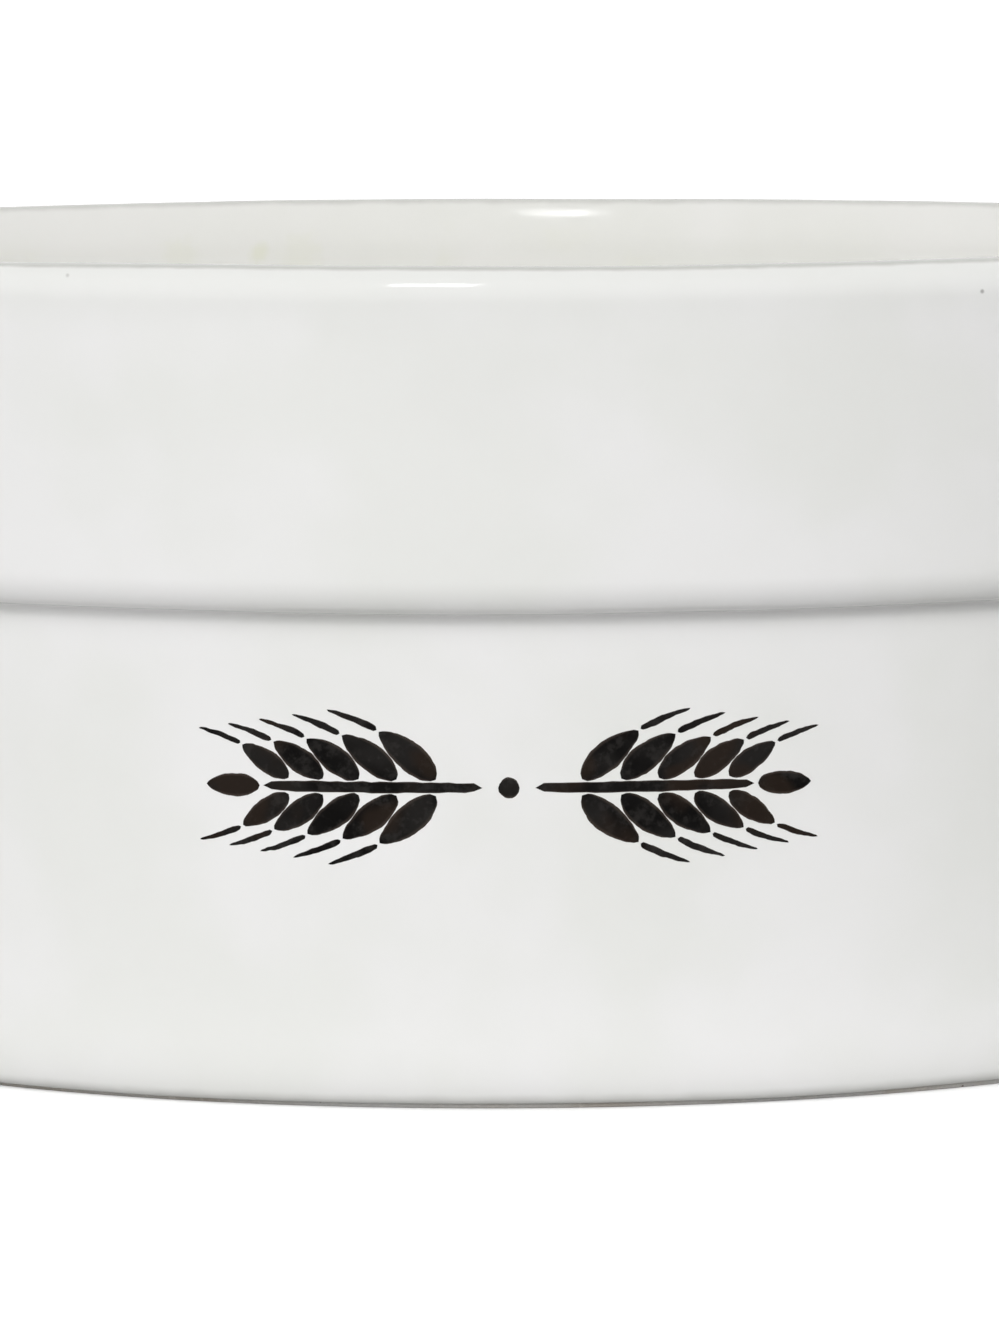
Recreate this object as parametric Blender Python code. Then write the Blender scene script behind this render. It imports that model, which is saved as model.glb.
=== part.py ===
"""Bread crock: a wide, low stoneware vessel with a deep collar round its mouth.

The fired clay body is turned about +Z and carries three separate glaze coats: one outside, one
lining the bowl and one in the recess under the base. Metres, +Z up, the decorated side at -Y,
and the origin on the table at the middle of the foot.
"""

import math

import bmesh
import bpy

# Whole vessel, measured over the glaze
HEIGHT = 0.1350
COLLAR_RADIUS = 0.1525

# Rim: a full rounded shoulder outside, and inside a tight lip that opens into a long shallow flare
OUTER_SHOULDER_WIDTH = 0.0056
OUTER_SHOULDER_DROP = 0.0060
LIP_RADIUS = 0.0024
FLARE_RADIUS = 0.0200
FLARE_ANGLE = math.radians(25)

# Collar: its height from the crest to the corner below it, and its rolled lower edge
COLLAR_HEIGHT = 0.0554
COLLAR_STEP = 0.0058
COLLAR_ROLL = 0.0056
CORNER_FILLET = 0.0020

# Wall below the collar, leaning in by its draft so that it leaves the mould
WALL_DRAFT = 0.0012
HEEL_WIDTH = 0.0032
HEEL_RISE = 0.0105

# Bowl inside: it leans in by its own draft and turns to the floor on a round corner
BOWL_DRAFT = 0.0040
BOWL_CORNER = 0.0180
FLOOR_THICKNESS = 0.0090

# Foot ring, left bare where the crock stands in the kiln
FOOT_HEIGHT = 0.0006
FOOT_INSET = 0.0006
FOOT_WIDTH = 0.0080
FOOT_BEVEL = 0.0005
BASE_RECESS = 0.0026

# Glaze: the thickness of each coat, and the gap that keeps two solids from touching
GLAZE_THICKNESS = 0.0006
GAP = 0.0003

# Fineness of the turned solids
SIDES = 72
CURVE_STEPS = 4
LIP_STEPS = 3
FLARE_STEPS = 3
CORNER_STEPS = 5
WELD_DISTANCE = 1e-6
SMOOTH_BELOW = math.radians(32)

# Places worked out from the sizes above
BED = GLAZE_THICKNESS + GAP
CREST_OUTER = COLLAR_RADIUS - OUTER_SHOULDER_WIDTH
CREST_INNER = CREST_OUTER - GAP
LIP_WIDTH = LIP_RADIUS * math.cos(FLARE_ANGLE)
LIP_DROP = LIP_RADIUS * (1.0 - math.sin(FLARE_ANGLE))
FLARE_WIDTH = FLARE_RADIUS * (1.0 - math.cos(FLARE_ANGLE))
FLARE_DROP = FLARE_RADIUS * math.sin(FLARE_ANGLE)
BOWL_TOP_RADIUS = CREST_INNER - LIP_WIDTH - FLARE_WIDTH
BOWL_FOOT_RADIUS = BOWL_TOP_RADIUS - BOWL_DRAFT
COLLAR_BOTTOM = HEIGHT - COLLAR_HEIGHT
WALL_TOP_RADIUS = COLLAR_RADIUS - COLLAR_STEP
WALL_FOOT_RADIUS = WALL_TOP_RADIUS - WALL_DRAFT
HEEL_RADIUS = WALL_FOOT_RADIUS - HEEL_WIDTH
FOOT_RADIUS = HEEL_RADIUS - FOOT_INSET
FOOT_INNER_RADIUS = FOOT_RADIUS - FOOT_WIDTH
FLOOR_HEIGHT = BASE_RECESS + FLOOR_THICKNESS


def clear_scene():
    for old in list(bpy.data.objects):
        bpy.data.objects.remove(old, do_unlink=True)


def material(name, colour, roughness):
    """A plain dielectric finish for one of the crock's layers."""
    made = bpy.data.materials.new(name)
    made.use_nodes = True
    shader = made.node_tree.nodes["Principled BSDF"]
    shader.inputs["Base Color"].default_value = (*colour, 1.0)
    shader.inputs["Roughness"].default_value = roughness
    shader.inputs["Metallic"].default_value = 0.0
    made.diffuse_color = (*colour, 1.0)
    return made


# A surface is drawn as stations, each (radius, height, normal out, normal up), where the normal
# points away from the clay.


def bend(centre, width, rise, start, end, steps, hollow=False):
    """Stations along an elliptical bend, from angle start to angle end above the horizontal.

    A hollow bend is seen from inside its curve, so its normals point to the centre.
    """
    centre_r, centre_z = centre
    facing = -1.0 if hollow else 1.0
    stations = []
    for step in range(steps + 1):
        angle = start + (end - start) * step / steps
        out, up = math.cos(angle), math.sin(angle)
        normal_out, normal_up = facing * out / width, facing * up / rise
        length = math.hypot(normal_out, normal_up)
        stations.append(
            (
                centre_r + width * out,
                centre_z + rise * up,
                normal_out / length,
                normal_up / length,
            )
        )
    return stations


def sunk(stations, depth):
    """The outline that lies depth below the stations, inside the clay."""
    return [(r - depth * out, z - depth * up) for r, z, out, up in stations]


def outside_surface():
    """The glazed outside, from the crest over the collar and down the wall to the glaze line."""
    quarter = math.pi / 2
    shoulder = bend(
        (CREST_OUTER, HEIGHT - OUTER_SHOULDER_DROP),
        OUTER_SHOULDER_WIDTH,
        OUTER_SHOULDER_DROP,
        quarter,
        0.0,
        CURVE_STEPS,
    )
    roll_width = COLLAR_STEP - CORNER_FILLET
    roll = bend(
        (COLLAR_RADIUS - roll_width, COLLAR_BOTTOM + COLLAR_ROLL),
        roll_width,
        COLLAR_ROLL,
        0.0,
        -quarter,
        CURVE_STEPS,
    )
    corner = bend(
        (WALL_TOP_RADIUS + CORNER_FILLET, COLLAR_BOTTOM - CORNER_FILLET),
        CORNER_FILLET,
        CORNER_FILLET,
        quarter,
        2 * quarter,
        2,
        hollow=True,
    )
    heel = bend(
        (HEEL_RADIUS, FOOT_HEIGHT + HEEL_RISE),
        HEEL_WIDTH,
        HEEL_RISE,
        0.0,
        -quarter,
        CURVE_STEPS,
    )
    return shoulder + roll + corner[1:] + heel


def inside_surface():
    """The lined bowl, from the crest down the wall and across the floor to the axis."""
    quarter = math.pi / 2
    lip_end = 2 * quarter - FLARE_ANGLE
    lip = bend(
        (CREST_INNER, HEIGHT - LIP_RADIUS),
        LIP_RADIUS,
        LIP_RADIUS,
        quarter,
        lip_end,
        LIP_STEPS,
    )
    flare = bend(
        (BOWL_TOP_RADIUS + FLARE_RADIUS, HEIGHT - LIP_DROP - FLARE_DROP),
        FLARE_RADIUS,
        FLARE_RADIUS,
        lip_end,
        2 * quarter,
        FLARE_STEPS,
    )
    corner = bend(
        (BOWL_FOOT_RADIUS - BOWL_CORNER, FLOOR_HEIGHT + BOWL_CORNER),
        BOWL_CORNER,
        BOWL_CORNER,
        0.0,
        -quarter,
        CORNER_STEPS,
        hollow=True,
    )
    middle = (0.0, FLOOR_HEIGHT, 0.0, 1.0)
    return lip + flare[1:] + corner + [middle]


def foot_outline():
    """The bare foot ring, from under the heel to the edge of the recess, bevelled at the table."""
    foot_inner, bevel = FOOT_INNER_RADIUS, FOOT_BEVEL
    return [
        (FOOT_RADIUS, FOOT_HEIGHT + BED),
        (FOOT_RADIUS, bevel),
        (FOOT_RADIUS - bevel, 0.0),
        (foot_inner + bevel, 0.0),
        (foot_inner, bevel),
        (foot_inner, BASE_RECESS + BED),
    ]


def turned(name, outline, finish):
    """Spins an outline of (radius, height) points about +Z into one closed solid.

    An outline whose two ends lie on the axis is left open there; any other is closed on itself.
    """
    mesh = bmesh.new()
    points = [mesh.verts.new((radius, 0.0, height)) for radius, height in outline]
    edges = [mesh.edges.new(pair) for pair in zip(points, points[1:])]
    if outline[0][0] > 0.0 or outline[-1][0] > 0.0:
        edges.append(mesh.edges.new((points[-1], points[0])))
    bmesh.ops.spin(
        mesh,
        geom=points + edges,
        cent=(0.0, 0.0, 0.0),
        axis=(0.0, 0.0, 1.0),
        angle=math.tau,
        steps=SIDES,
        use_merge=True,
    )
    bmesh.ops.remove_doubles(mesh, verts=mesh.verts, dist=WELD_DISTANCE)
    bmesh.ops.recalc_face_normals(mesh, faces=mesh.faces)
    data = bpy.data.meshes.new(name)
    mesh.to_mesh(data)
    mesh.free()
    data.shade_smooth()
    data.set_sharp_from_angle(angle=SMOOTH_BELOW)
    data.materials.append(finish)
    made = bpy.data.objects.new(name, data)
    bpy.context.scene.collection.objects.link(made)
    return made


def coat(name, surface, finish):
    """A glaze coat of even thickness that follows a surface, laid a gap above the clay."""
    under = sunk(surface, GLAZE_THICKNESS)
    return turned(name, sunk(surface, 0.0) + under[::-1], finish)


def clay_body():
    """The fired vessel: bowl, collar, wall and foot ring in one piece, as it leaves the mould."""
    bowl = sunk(inside_surface(), BED)[::-1]
    outside = sunk(outside_surface(), BED)
    base_middle = (0.0, BASE_RECESS + BED)
    outline = bowl + outside + foot_outline() + [base_middle]
    stoneware = material("stoneware", (0.56, 0.53, 0.49), 0.85)
    return turned("crock_body", outline, stoneware)


def outer_coat():
    """White glaze over the collar and wall. It stops at the heel, clear of the kiln shelf."""
    white = material("white_glaze", (0.80, 0.80, 0.78), 0.12)
    return coat("outer_glaze", outside_surface(), white)


def liner_coat():
    """Cream liner glaze, poured over the whole bowl up to the crest."""
    cream = material("liner_glaze", (0.78, 0.77, 0.71), 0.12)
    return coat("liner_glaze", inside_surface(), cream)


def base_coat():
    """A disc of glaze in the recess under the base, inside the bare foot ring."""
    edge = FOOT_INNER_RADIUS - GAP
    surface = [(edge, BASE_RECESS, 0.0, -1.0), (0.0, BASE_RECESS, 0.0, -1.0)]
    grey_white = material("base_glaze", (0.74, 0.74, 0.71), 0.20)
    under = sunk(surface, GLAZE_THICKNESS)
    outline = [under[1], under[0], *sunk(surface, 0.0)]
    return turned("base_glaze", outline, grey_white)


def main():
    clear_scene()
    crock = bpy.data.objects.new("bread_crock", None)
    bpy.context.scene.collection.objects.link(crock)
    for piece in (clay_body(), outer_coat(), liner_coat(), base_coat()):
        piece.parent = crock


main()
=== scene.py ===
"""Bread crock, finished: its glazes, its bare clay foot and the wheat mark stamped on its wall.

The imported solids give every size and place. Each coat is turned again here, finely and with the
slow unevenness of a poured glaze, in the space that its solid holds.
"""

import math

import bmesh
import bpy
from bpy.props import FloatProperty, FloatVectorProperty, IntProperty, PointerProperty
from mathutils import Matrix, Vector


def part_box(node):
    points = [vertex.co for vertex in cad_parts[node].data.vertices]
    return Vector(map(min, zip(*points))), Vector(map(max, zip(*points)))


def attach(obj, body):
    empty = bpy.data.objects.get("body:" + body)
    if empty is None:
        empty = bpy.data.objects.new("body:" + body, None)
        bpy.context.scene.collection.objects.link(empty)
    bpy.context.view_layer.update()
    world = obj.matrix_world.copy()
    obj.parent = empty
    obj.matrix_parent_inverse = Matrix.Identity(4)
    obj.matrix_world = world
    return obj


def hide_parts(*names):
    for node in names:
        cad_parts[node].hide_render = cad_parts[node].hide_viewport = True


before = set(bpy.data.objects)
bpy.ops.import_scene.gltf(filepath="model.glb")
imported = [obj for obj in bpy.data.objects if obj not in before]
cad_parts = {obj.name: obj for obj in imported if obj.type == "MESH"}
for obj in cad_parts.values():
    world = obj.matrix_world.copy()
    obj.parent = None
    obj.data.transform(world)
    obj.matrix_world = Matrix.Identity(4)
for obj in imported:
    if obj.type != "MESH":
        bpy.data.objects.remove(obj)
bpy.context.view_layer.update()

bl_info = {
    "name": "Bread Crock",
    "version": (1, 0, 0),
    "blender": (4, 5, 0),
    "location": "3D View > Sidebar > Crock",
    "description": "Glazes a turned stoneware bread crock and stamps its wheat mark",
    "category": "Object",
}

# A quarter turn, and the turn of a bend from straight out to straight down
QUARTER = math.pi / 2
DOWN = (0.0, -QUARTER)

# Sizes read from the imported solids
OUTER_LOW, OUTER_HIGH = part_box("outer_glaze")
LINER_LOW, LINER_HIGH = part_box("liner_glaze")
BASE_LOW, BASE_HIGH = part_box("base_glaze")
COAT = BASE_HIGH.z - BASE_LOW.z

# Gap between the foot ring and the base glaze, how far the clay reaches into its coats, and how
# far the floor lies under the foot
RECESS_GAP = 0.0003
CLAY_OVERLAP = 0.00002
FLOOR_DROP = 0.00002

# Longest straight between two stations of an outline
OUTSIDE_STEP = 0.003
INSIDE_STEP = 0.004
FOOT_STEP = 0.0015
BASE_STEP = 0.005

# Where the slow and the short waves are read, so that they don't follow each other
SWELL_OFFSET = 3.1
RIPPLE_OFFSET = 7.7

# The drawing of an ear: how much the last pair of grains shrinks, how much less it leans and how
# much it crowds up; how far a grain clears the stalk and bows; a bristle's gaps, turn and size;
# and the end of the stalk, the grain at its tip and the dot between the ears
GRAIN_SHRINK = 0.22
LEAN_DROP = 0.14
CROWDING = 0.28
GRAIN_CLEARANCE = 0.0004
GRAIN_BOW = -0.07
AWN_GAP_ALONG = 0.00034
AWN_GAP_ACROSS = 0.00028
AWN_TURN = 0.62
AWN_SHRINK = 0.15
STALK_BEYOND = 0.0042
TIP_LENGTH = 0.76
TIP_WIDTH = 0.80
TIP_GAP = 0.0006
DOT_SIZE = 0.0034

# How deep the ink is bedded in the glaze, and the rays that find the wall under it
INK_BED = 0.00015
RAY_START = 0.2
RAY_LENGTH = 0.15

# Picks the drawing of the clouds in the glaze
CLOUD_SEED = 5.0

# Bands of painted shade along an edge, each how far it is full, how far it reaches and how far its
# edge wanders: darker and warmer on the shoulder under the crest, and darker low on the heel where
# the glaze ends. The two dark lines painted along the crest, outside and inside, end in their depth
# of colour.
WARM_SHADE_BAND = (0.002, 0.014, 0.004)
FOOT_SHADE_BAND = (0.0004, 0.0028, 0.0009)
OUTER_CREST_SHADE = (0.0019, 0.0033, 0.0009, 1.0)
LINER_CREST_SHADE = (0.0010, 0.0026, 0.0009, 0.7)

# Spots in the glazes, each its place, its reach and its depth of colour: two pinholes that burst
# just under the crest outside, and three stains near the mouth on the far wall inside
PINHOLES = (
    ((-0.0699, -0.1339, 0.1330), 0.0005, 0.35),
    ((0.0757, -0.1323, 0.1297), 0.0005, 0.65),
)
STAINS = (
    ((-0.0478, 0.1341, 0.1250), 0.0028, 0.50),
    ((-0.0628, 0.1278, 0.1249), 0.0045, 0.22),
    ((-0.0400, 0.1367, 0.1243), 0.0060, 0.22),
)

# Colours of the small things in the surfaces
IRON_SPECK = (0.10, 0.07, 0.045)
PALE_GRAIN = (0.78, 0.75, 0.69)
DARK_SAND = (0.16, 0.12, 0.09)
INK_RIM = (0.11, 0.085, 0.070)
WHITE = (1.0, 1.0, 1.0)

# Places of the lamps, what they face, and how far the light over the mouth stays off the rim
KEY_PLACE = (-0.075, -0.435, 0.590)
FRONT_PLACE = (-0.37, -1.94, 0.73)
LAMP_AIM = (0.0, -0.05, 0.08)
BOWL_LAMP_HEIGHT = 1.30
BOWL_LAMP_MARGIN = 0.012

# The floor: half its side, its colour and glow to the camera, and the radii where it changes
FLOOR_REACH = 30.0
FLOOR_TONE = (0.9, 0.9, 0.9)
FLOOR_GLOW = 0.30
NEAR_EDGE = (0.165, 0.215)
RIGHT_START = (0.17, 0.21)
RIGHT_END = (0.40, 0.80)
RIGHT_SIDE = (0.07, 0.14)

# Where the soft light rises to full strength and falls off again, as the sine of its elevation
BELT_RISE = (0.24, 0.44)
BELT_FALL = (0.62, 0.76)


# Settings


def kind_of(prop, **options):
    """A function that declares one kind of setting from its name, description and default."""

    def declared(name, description, default):
        return prop(name=name, description=description, default=default, **options)

    return declared


a_length = kind_of(FloatProperty, unit="LENGTH")
an_angle = kind_of(FloatProperty, subtype="ANGLE")
a_share = kind_of(FloatProperty, subtype="FACTOR")
a_power = kind_of(FloatProperty, unit="POWER")
a_strength = kind_of(FloatProperty)
a_count = kind_of(IntProperty, min=3)
a_colour = kind_of(FloatVectorProperty, subtype="COLOR")


class CrockSizes(bpy.types.PropertyGroup):
    """Sizes of the turned vessel, measured over the glaze."""

    height: a_length("Height", "From the table to the crest of the rim", OUTER_HIGH.z)
    collar_radius: a_length("Collar radius", "From the axis to the face of the collar", OUTER_HIGH.x)
    crest_radius: a_length("Crest radius", "From the axis to where the two glazes meet", LINER_HIGH.x)
    shoulder_drop: a_length("Shoulder drop", "Height of the rounded shoulder outside the crest", 0.0060)
    lip_radius: a_length("Lip radius", "Tight round just inside the crest", 0.0024)
    flare_radius: a_length("Flare radius", "Shallow curve that opens the mouth below the lip", 0.0200)
    flare_angle: an_angle("Flare angle", "How far the flare leans out at the lip", math.radians(25))
    collar_height: a_length("Collar height", "From the crest to the corner under the collar", 0.0554)
    collar_step: a_length("Collar step", "How far the collar stands out from the wall", 0.0058)
    collar_roll: a_length("Collar roll", "Height of the rounded lower edge of the collar", 0.0056)
    corner_fillet: a_length("Corner fillet", "Glaze that fills the corner under the collar", 0.0020)
    wall_draft: a_length("Wall draft", "How far the wall leans in on its way down", 0.0012)
    heel_width: a_length("Heel width", "How far the wall turns in under itself at the heel", 0.0032)
    heel_rise: a_length("Heel rise", "Height of the rounded heel", 0.0105)
    bowl_draft: a_length("Bowl draft", "How far the inside leans in on its way down", 0.0040)
    bowl_corner: a_length("Bowl corner", "Round between the inside wall and the floor", 0.0180)
    floor_height: a_length("Floor height", "From the table to the bowl's floor", LINER_LOW.z + COAT)
    glaze_line: a_length("Glaze line", "Height at which the outer glaze ends", OUTER_LOW.z)
    recess: a_length("Base recess", "Depth of the glazed hollow inside the foot ring", BASE_LOW.z)
    recess_radius: a_length("Recess radius", "From the axis to the edge of the base glaze", BASE_HIGH.x)
    foot_inset: a_length("Foot inset", "Bare step between the glaze's end and the foot ring", 0.0006)
    foot_bevel: a_length("Foot bevel", "Sponged edge of the foot ring", 0.0005)
    sides: a_count("Sides", "Divisions round the vessel", 288)


class GlazeLook(bpy.types.PropertyGroup):
    """Colours of the glazes and the clay, and the unevenness of the poured coats."""

    white: a_colour("White glaze", "Colour of the outer glaze", (0.851, 0.847, 0.840))
    cream: a_colour("Liner glaze", "Colour of the glaze inside the bowl", (0.745, 0.741, 0.719))
    clay: a_colour("Clay", "Colour of the bare fired clay", (0.56, 0.553, 0.54))
    # Painted shade: the dark colour laid along the crest and low on the heel
    thin: a_colour("Thin glaze", "Colour where the glaze breaks thin over an edge", (0.50, 0.50, 0.47))
    # Painted shade with a warmer tint, laid on the shoulder under the crest
    warm: a_colour("Warm glaze", "Colour of the outer glaze near the crest", (0.786, 0.791, 0.767))
    ink: a_colour("Ink", "Colour of the stamped mark", (0.0150, 0.0138, 0.0130))
    warm_ink: a_colour("Warm ink", "Colour where the ink burnt browner", (0.0230, 0.0150, 0.0105))
    stain: a_colour("Stain", "Colour of the faint stains in the liner", (0.67, 0.68, 0.54))
    pinhole: a_colour("Pinhole", "Colour of the clay that shows in a burst bubble", (0.20, 0.19, 0.18))
    gloss: a_share("Gloss roughness", "Roughness of the fired outer glaze", 0.07)
    liner_gloss: a_share("Liner roughness", "Roughness of the liner, a little duller from use", 0.11)
    swell_height: a_length("Swell height", "Depth of the slow waves in the outer glaze", 0.00040)
    swell_length: a_length("Swell length", "Distance between the slow waves", 0.075)
    ripple_height: a_length("Ripple height", "Depth of the short waves in the glaze", 0.00006)
    ripple_length: a_length("Ripple length", "Distance between the short waves", 0.022)


class MarkSizes(bpy.types.PropertyGroup):
    """Sizes of the pair of wheat ears stamped on the wall."""

    height: a_length("Mark height", "From the table to the middle of the mark", 0.0520)
    stalk_start: a_length("Stalk start", "From the mark's middle to a stalk's cut end", 0.0042)
    first_pair: a_length("First pair", "From the mark's middle to the first grains", 0.0116)
    spacing: a_length("Spacing", "Distance between pairs of grains along the stalk", 0.00640)
    pairs: a_count("Pairs of grains", "Pairs of grains along a stalk", 5)
    grain_length: a_length("Grain length", "Length of the largest grain", 0.0118)
    grain_width: a_length("Grain width", "Width of the largest grain", 0.0047)
    grain_lean: an_angle("Grain lean", "Between the first grains and their stalk", math.radians(44))
    stalk_width: a_length("Stalk width", "Width of each stalk", 0.0018)
    awn_length: a_length("Awn length", "Length of the bristle beyond each grain", 0.0086)
    awn_width: a_length("Awn width", "Width of the bristle at its root", 0.00110)
    ragged: a_length("Raggedness", "How far the edge of the ink wanders", 0.00020)
    film: a_length("Ink film", "How far the mark stands up from the glaze", 0.00004)


class StageSettings(bpy.types.PropertyGroup):
    """The camera, the lamps, the soft light all round and the floor."""

    lens: a_length("Lens", "Focal length", 0.21146)
    distance: a_length("Distance", "From the camera to the crock's axis, along the floor", 1.37922)
    eye_height: a_length("Eye height", "Height of the camera over the table", 0.18989)
    pitch: an_angle("Pitch", "How far the camera looks down", 0.09584)
    yaw: an_angle("Yaw", "How far the camera turns to its left", 0.00114)
    roll: an_angle("Roll", "How far the camera tips", -0.00439)
    belt: a_strength("Belt of light", "Strength of the soft light from halfway up", 2.40)
    horizon: a_strength("Light at the horizon", "Strength of the soft light from low down", 0.48)
    front_power: a_power("Front power", "Power of the broad lamp on the camera's left", 12.0)
    front_width: a_length("Front width", "Width of the broad lamp", 2.6)
    front_height: a_length("Front height", "Height of the broad lamp", 1.1)
    bowl_power: a_power("Bowl power", "Power of the lamp over the mouth", 14.0)
    key_power: a_power("Key power", "Power of the small lamp over the front", 0.30)
    key_size: a_length("Key size", "Side of the small lamp over the front", 0.105)
    near_floor: a_share("Near floor", "Light that the floor sends back close to the crock", 0.58)
    far_floor: a_share("Far floor", "Light that the floor sends back further out", 0.35)
    right_floor: a_share("Right floor", "Light that the floor sends back on the right", 0.09)


def chosen():
    """The crock's sizes and the look of its finishes, as the scene holds them."""
    scene = bpy.context.scene
    return scene.crock_sizes, scene.glaze_look


# Node trees


class Term:
    """A node's output, or a group's input. Reckoning with it adds Math nodes to its tree."""

    def __init__(self, socket):
        self.socket = socket
        self.tree = socket.id_data

    def __add__(self, other):
        return maths("ADD", self, other)

    def __sub__(self, other):
        return maths("SUBTRACT", self, other)

    def __rsub__(self, other):
        return maths("SUBTRACT", other, self)

    def __mul__(self, other):
        return maths("MULTIPLY", self, other)

    def __truediv__(self, other):
        return maths("DIVIDE", self, other)

    def __rtruediv__(self, other):
        return maths("DIVIDE", other, self)

    def __pow__(self, other):
        return maths("POWER", self, other)


def terms_of(node):
    """A node's outputs, under their numbers and their names."""
    return {key: Term(socket) for at, socket in enumerate(node.outputs) for key in (at, socket.name)}


def add(tree, kind, inputs=None, **settings):
    """Adds a node, sets its options, feeds it terms and plain values, and returns its outputs."""
    made = tree.nodes.new(kind)
    for option, value in settings.items():
        setattr(made, option, value)
    for name, value in (inputs or {}).items():
        if isinstance(value, Term):
            tree.links.new(value.socket, made.inputs[name])
        else:
            made.inputs[name].default_value = value
    return terms_of(made)


def output(kind, inputs, wanted=0, **settings):
    """One output of a new node, which goes in the tree of the terms that feed it."""
    tree = next(value.tree for value in inputs.values() if isinstance(value, Term))
    return add(tree, kind, inputs, **settings)[wanted]


def feed(socket, term):
    """Links a term to a socket that is there already."""
    term.tree.links.new(term.socket, socket)


def maths(operation, *values):
    """The result of a Math node."""
    return output("ShaderNodeMath", dict(enumerate(values)), operation=operation)


def vectors(operation, *values):
    """The vector that a Vector Math node makes."""
    return output("ShaderNodeVectorMath", dict(enumerate(values)), operation=operation)


def length(vector):
    """The length of a vector."""
    return output("ShaderNodeVectorMath", {0: vector}, "Value", operation="LENGTH")


def scaled(vector, size):
    """A vector made longer or shorter."""
    return output("ShaderNodeVectorMath", {0: vector, "Scale": size}, operation="SCALE")


def xyz(*parts):
    """A vector put together from its three parts. Plain numbers stay plain."""
    if any(isinstance(part, Term) for part in parts):
        return output("ShaderNodeCombineXYZ", dict(enumerate(parts)))
    return parts


def parts_of(term, kind="XYZ"):
    """The three parts of a vector or, as kind Color, of a colour."""
    made = add(term.tree, "ShaderNodeSeparate" + kind, {0: term})
    return made[0], made[1], made[2]


def smooth_step(value, low, high, to_low=0.0, to_high=1.0):
    """A smooth ramp of value, from to_low at low to to_high at high."""
    inputs = {"Value": value, "From Min": low, "From Max": high, "To Min": to_low, "To Max": to_high}
    return output("ShaderNodeMapRange", inputs, interpolation_type="SMOOTHSTEP")


def noise(place, scale, detail, roughness=0.5, wanted=0):
    """Soft noise in space: one value, or three where its Color is wanted."""
    inputs = {"Vector": place, "Scale": scale, "Detail": detail, "Roughness": roughness}
    return output("ShaderNodeTexNoise", inputs, wanted)


def mixed(share, first, second):
    """Two colours mixed by share, each a term or three numbers."""
    first, second = [tone if isinstance(tone, Term) else (*tone, 1.0) for tone in (first, second)]
    return output("ShaderNodeMix", {0: share, 6: first, 7: second}, 2, data_type="RGBA")


def group(kind, takes, *gives):
    """An empty node group. Each input starts from a number, or is given as the kind of its socket.

    A geometry group gives geometry, and a shader group gives numbers.
    """
    tree = bpy.data.node_groups.new(kind, kind + "NodeTree")
    for label, value in takes.items():
        socket = {int: "Int", float: "Float"}.get(type(value), value)
        made = tree.interface.new_socket(label, in_out="INPUT", socket_type="NodeSocket" + socket)
        if socket != value:
            made.default_value = value
    for label in gives:
        socket = "NodeSocketGeometry" if kind == "Geometry" else "NodeSocketFloat"
        tree.interface.new_socket(label, in_out="OUTPUT", socket_type=socket)
    entry = tree.nodes.new("NodeGroupInput")
    leave = tree.nodes.new("NodeGroupOutput")
    return tree, terms_of(entry), leave.inputs


def shared(builder):
    """The group that a function builds, made when it is first needed and named after it."""
    name = builder.__name__.replace("_", " ").title()
    if name not in bpy.data.node_groups:
        builder().name = name
    return bpy.data.node_groups[name]


def placed(tree, builder, **inputs):
    """Places a shared group in a tree and returns its outputs."""
    kind = tree.bl_idname.replace("NodeTree", "NodeGroup")
    named = {label.replace("_", " "): value for label, value in inputs.items()}
    return add(tree, kind, named, node_tree=shared(builder))


# Outlines. A station is (radius, height, normal out, normal up); the normal leaves the clay.


def bend(centre, size, turn, steps, hollow=False):
    """Stations along an elliptical bend of a width and a rise, from one angle to another.

    A hollow bend is seen from inside its curve.
    """
    (width, rise), (start, end) = size, turn
    facing = -1.0 if hollow else 1.0
    stations = []
    for step in range(steps + 1):
        angle = start + (end - start) * step / steps
        out, up = math.cos(angle), math.sin(angle)
        normal = Vector((facing * out / width, facing * up / rise)).normalized()
        place = (centre[0] + width * out, centre[1] + rise * up)
        stations.append((*place, normal.x, normal.y))
    return stations


def filled(stations, spacing):
    """The stations with more added on every straight longer than spacing."""
    made = [stations[0]]
    for before, after in zip(stations, stations[1:]):
        run = math.hypot(after[0] - before[0], after[1] - before[1])
        steps = max(1, math.ceil(run / spacing))
        for step in range(1, steps + 1):
            share = step / steps
            made.append(tuple(a + (b - a) * share for a, b in zip(before, after)))
    return made


def sunk(stations, depth):
    """The stations moved into the clay."""
    return [(r - depth * out, z - depth * up, out, up) for r, z, out, up in stations]


def glaze_end(sizes):
    """From the axis to the lower end of the outer glaze."""
    wall_foot = sizes.collar_radius - sizes.collar_step - sizes.wall_draft
    return wall_foot - sizes.heel_width


def outside_stations(sizes):
    """The glazed outside, from the crest over the collar and down the wall to the glaze line."""
    fillet = sizes.corner_fillet
    corner_z = sizes.height - sizes.collar_height
    wall_top = sizes.collar_radius - sizes.collar_step
    shoulder = (sizes.collar_radius - sizes.crest_radius, sizes.shoulder_drop)
    roll = (sizes.collar_step - fillet, sizes.collar_roll)
    heel = (sizes.heel_width, sizes.heel_rise)
    corner = (wall_top + fillet, corner_z - fillet)
    made = bend((sizes.crest_radius, sizes.height - shoulder[1]), shoulder, (QUARTER, 0.0), 24)
    made += bend((sizes.collar_radius - roll[0], corner_z + roll[1]), roll, DOWN, 20)
    made += bend(corner, (fillet, fillet), (QUARTER, 2 * QUARTER), 8, hollow=True)[1:]
    made += bend((glaze_end(sizes), sizes.glaze_line + heel[1]), heel, DOWN, 18)
    return filled(made, OUTSIDE_STEP)


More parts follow.
